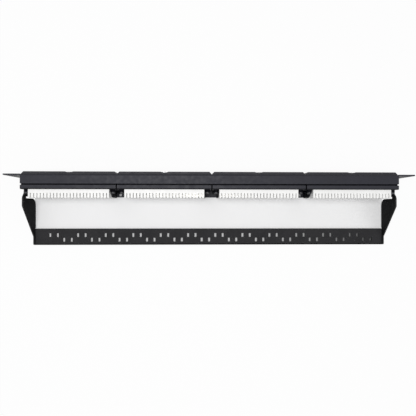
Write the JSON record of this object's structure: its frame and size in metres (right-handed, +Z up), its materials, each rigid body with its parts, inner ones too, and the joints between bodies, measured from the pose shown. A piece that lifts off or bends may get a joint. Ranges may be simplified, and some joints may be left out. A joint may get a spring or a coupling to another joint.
{
  "type": "rack patch panel",
  "caption": "Rack patch panel with modular ports in front, white punch-down terminal strips behind and a lift-off bar for tying the cables.",
  "frame": {"origin": "centre of the four rack slots on the rear face of the face plate, the plane that meets the rack", "axes": "+X along the panel to the right seen from the front, +Y to the rear of the rack, +Z up"},
  "size_m": [0.4826, 0.0888, 0.044],
  "materials": {
    "black_steel": "fine powder coat",
    "bezel_plastic": "fine matt grain",
    "housing_plastic": "fine matt grain",
    "shell_plastic": "matt",
    "strip_white": "matt",
    "board_green": "solder mask",
    "contact_metal": "tin plated bronze",
    "contact_gold": "gold plated",
    "clear_plastic": "clear",
    "label_paper": "matt",
    "screw_steel": "dark zinc plated"
  },
  "bodies": {
    "panel": {"panel_frame": "black_steel", "label_cards": "label_paper", "module_screws": "screw_steel", "bezel_1": "bezel_plastic", "rear_housing_1": "housing_plastic", "circuit_board_1": "board_green", "jack_shells_1": "shell_plastic", "upper_strip_1": "strip_white", "lower_strip_1": "strip_white", "board_contacts_1": "contact_metal", "bezel_2": "bezel_plastic", "rear_housing_2": "housing_plastic", "circuit_board_2": "board_green", "jack_shells_2": "shell_plastic", "upper_strip_2": "strip_white", "lower_strip_2": "strip_white", "board_contacts_2": "contact_metal", "bezel_3": "bezel_plastic", "rear_housing_3": "housing_plastic", "circuit_board_3": "board_green", "jack_shells_3": "shell_plastic", "upper_strip_3": "strip_white", "lower_strip_3": "strip_white", "board_contacts_3": "contact_metal", "bezel_4": "bezel_plastic", "rear_housing_4": "housing_plastic", "circuit_board_4": "board_green", "jack_shells_4": "shell_plastic", "upper_strip_4": "strip_white", "lower_strip_4": "strip_white", "board_contacts_4": "contact_metal"},
    "cable_bar": {"cable_bar": "black_steel"},
    "label_cover_1": {"label_cover_1": "clear_plastic"},
    "label_cover_2": {"label_cover_2": "clear_plastic"},
    "label_cover_3": {"label_cover_3": "clear_plastic"},
    "label_cover_4": {"label_cover_4": "clear_plastic"},
    "contacts_01": {"contacts_01": "contact_gold"},
    "contacts_02": {"contacts_02": "contact_gold"},
    "contacts_03": {"contacts_03": "contact_gold"},
    "contacts_04": {"contacts_04": "contact_gold"},
    "contacts_05": {"contacts_05": "contact_gold"},
    "contacts_06": {"contacts_06": "contact_gold"},
    "contacts_07": {"contacts_07": "contact_gold"},
    "contacts_08": {"contacts_08": "contact_gold"},
    "contacts_09": {"contacts_09": "contact_gold"},
    "contacts_10": {"contacts_10": "contact_gold"},
    "contacts_11": {"contacts_11": "contact_gold"},
    "contacts_12": {"contacts_12": "contact_gold"},
    "contacts_13": {"contacts_13": "contact_gold"},
    "contacts_14": {"contacts_14": "contact_gold"},
    "contacts_15": {"contacts_15": "contact_gold"},
    "contacts_16": {"contacts_16": "contact_gold"},
    "contacts_17": {"contacts_17": "contact_gold"},
    "contacts_18": {"contacts_18": "contact_gold"},
    "contacts_19": {"contacts_19": "contact_gold"},
    "contacts_20": {"contacts_20": "contact_gold"},
    "contacts_21": {"contacts_21": "contact_gold"},
    "contacts_22": {"contacts_22": "contact_gold"},
    "contacts_23": {"contacts_23": "contact_gold"},
    "contacts_24": {"contacts_24": "contact_gold"}
  },
  "joints": [
    {"name": "bar_lift", "type": "slide", "parent": "panel", "child": "cable_bar", "axis": [0, 0, 1], "range_m": [0, 0.03]},
    {"name": "cover_flip_1", "type": "hinge", "parent": "panel", "child": "label_cover_1", "pos_m": [-0.1665, -0.0038, 0.0082], "axis": [1, 0, 0], "range_deg": [0, 110]},
    {"name": "cover_flip_2", "type": "hinge", "parent": "panel", "child": "label_cover_2", "pos_m": [-0.0555, -0.0038, 0.0082], "axis": [1, 0, 0], "range_deg": [0, 110]},
    {"name": "cover_flip_3", "type": "hinge", "parent": "panel", "child": "label_cover_3", "pos_m": [0.0555, -0.0038, 0.0082], "axis": [1, 0, 0], "range_deg": [0, 110]},
    {"name": "cover_flip_4", "type": "hinge", "parent": "panel", "child": "label_cover_4", "pos_m": [0.1665, -0.0038, 0.0082], "axis": [1, 0, 0], "range_deg": [0, 110]},
    {"name": "contact_flex_01", "type": "hinge", "parent": "panel", "child": "contacts_01", "pos_m": [-0.2046, 0.001, 0.00135], "axis": [1, 0, 0], "range_deg": [0, 18], "stiffness_Nm_per_rad": 0.2},
    {"name": "contact_flex_02", "type": "hinge", "parent": "panel", "child": "contacts_02", "pos_m": [-0.18936, 0.001, 0.00135], "axis": [1, 0, 0], "range_deg": [0, 18], "stiffness_Nm_per_rad": 0.2},
    {"name": "contact_flex_03", "type": "hinge", "parent": "panel", "child": "contacts_03", "pos_m": [-0.17412, 0.001, 0.00135], "axis": [1, 0, 0], "range_deg": [0, 18], "stiffness_Nm_per_rad": 0.2},
    {"name": "contact_flex_04", "type": "hinge", "parent": "panel", "child": "contacts_04", "pos_m": [-0.15888, 0.001, 0.00135], "axis": [1, 0, 0], "range_deg": [0, 18], "stiffness_Nm_per_rad": 0.2},
    {"name": "contact_flex_05", "type": "hinge", "parent": "panel", "child": "contacts_05", "pos_m": [-0.14364, 0.001, 0.00135], "axis": [1, 0, 0], "range_deg": [0, 18], "stiffness_Nm_per_rad": 0.2},
    {"name": "contact_flex_06", "type": "hinge", "parent": "panel", "child": "contacts_06", "pos_m": [-0.1284, 0.001, 0.00135], "axis": [1, 0, 0], "range_deg": [0, 18], "stiffness_Nm_per_rad": 0.2},
    {"name": "contact_flex_07", "type": "hinge", "parent": "panel", "child": "contacts_07", "pos_m": [-0.0936, 0.001, 0.00135], "axis": [1, 0, 0], "range_deg": [0, 18], "stiffness_Nm_per_rad": 0.2},
    {"name": "contact_flex_08", "type": "hinge", "parent": "panel", "child": "contacts_08", "pos_m": [-0.07836, 0.001, 0.00135], "axis": [1, 0, 0], "range_deg": [0, 18], "stiffness_Nm_per_rad": 0.2},
    {"name": "contact_flex_09", "type": "hinge", "parent": "panel", "child": "contacts_09", "pos_m": [-0.06312, 0.001, 0.00135], "axis": [1, 0, 0], "range_deg": [0, 18], "stiffness_Nm_per_rad": 0.2},
    {"name": "contact_flex_10", "type": "hinge", "parent": "panel", "child": "contacts_10", "pos_m": [-0.04788, 0.001, 0.00135], "axis": [1, 0, 0], "range_deg": [0, 18], "stiffness_Nm_per_rad": 0.2},
    {"name": "contact_flex_11", "type": "hinge", "parent": "panel", "child": "contacts_11", "pos_m": [-0.03264, 0.001, 0.00135], "axis": [1, 0, 0], "range_deg": [0, 18], "stiffness_Nm_per_rad": 0.2},
    {"name": "contact_flex_12", "type": "hinge", "parent": "panel", "child": "contacts_12", "pos_m": [-0.0174, 0.001, 0.00135], "axis": [1, 0, 0], "range_deg": [0, 18], "stiffness_Nm_per_rad": 0.2},
    {"name": "contact_flex_13", "type": "hinge", "parent": "panel", "child": "contacts_13", "pos_m": [0.0174, 0.001, 0.00135], "axis": [1, 0, 0], "range_deg": [0, 18], "stiffness_Nm_per_rad": 0.2},
    {"name": "contact_flex_14", "type": "hinge", "parent": "panel", "child": "contacts_14", "pos_m": [0.03264, 0.001, 0.00135], "axis": [1, 0, 0], "range_deg": [0, 18], "stiffness_Nm_per_rad": 0.2},
    {"name": "contact_flex_15", "type": "hinge", "parent": "panel", "child": "contacts_15", "pos_m": [0.04788, 0.001, 0.00135], "axis": [1, 0, 0], "range_deg": [0, 18], "stiffness_Nm_per_rad": 0.2},
    {"name": "contact_flex_16", "type": "hinge", "parent": "panel", "child": "contacts_16", "pos_m": [0.06312, 0.001, 0.00135], "axis": [1, 0, 0], "range_deg": [0, 18], "stiffness_Nm_per_rad": 0.2},
    {"name": "contact_flex_17", "type": "hinge", "parent": "panel", "child": "contacts_17", "pos_m": [0.07836, 0.001, 0.00135], "axis": [1, 0, 0], "range_deg": [0, 18], "stiffness_Nm_per_rad": 0.2},
    {"name": "contact_flex_18", "type": "hinge", "parent": "panel", "child": "contacts_18", "pos_m": [0.0936, 0.001, 0.00135], "axis": [1, 0, 0], "range_deg": [0, 18], "stiffness_Nm_per_rad": 0.2},
    {"name": "contact_flex_19", "type": "hinge", "parent": "panel", "child": "contacts_19", "pos_m": [0.1284, 0.001, 0.00135], "axis": [1, 0, 0], "range_deg": [0, 18], "stiffness_Nm_per_rad": 0.2},
    {"name": "contact_flex_20", "type": "hinge", "parent": "panel", "child": "contacts_20", "pos_m": [0.14364, 0.001, 0.00135], "axis": [1, 0, 0], "range_deg": [0, 18], "stiffness_Nm_per_rad": 0.2},
    {"name": "contact_flex_21", "type": "hinge", "parent": "panel", "child": "contacts_21", "pos_m": [0.15888, 0.001, 0.00135], "axis": [1, 0, 0], "range_deg": [0, 18], "stiffness_Nm_per_rad": 0.2},
    {"name": "contact_flex_22", "type": "hinge", "parent": "panel", "child": "contacts_22", "pos_m": [0.17412, 0.001, 0.00135], "axis": [1, 0, 0], "range_deg": [0, 18], "stiffness_Nm_per_rad": 0.2},
    {"name": "contact_flex_23", "type": "hinge", "parent": "panel", "child": "contacts_23", "pos_m": [0.18936, 0.001, 0.00135], "axis": [1, 0, 0], "range_deg": [0, 18], "stiffness_Nm_per_rad": 0.2},
    {"name": "contact_flex_24", "type": "hinge", "parent": "panel", "child": "contacts_24", "pos_m": [0.2046, 0.001, 0.00135], "axis": [1, 0, 0], "range_deg": [0, 18], "stiffness_Nm_per_rad": 0.2}
  ]
}
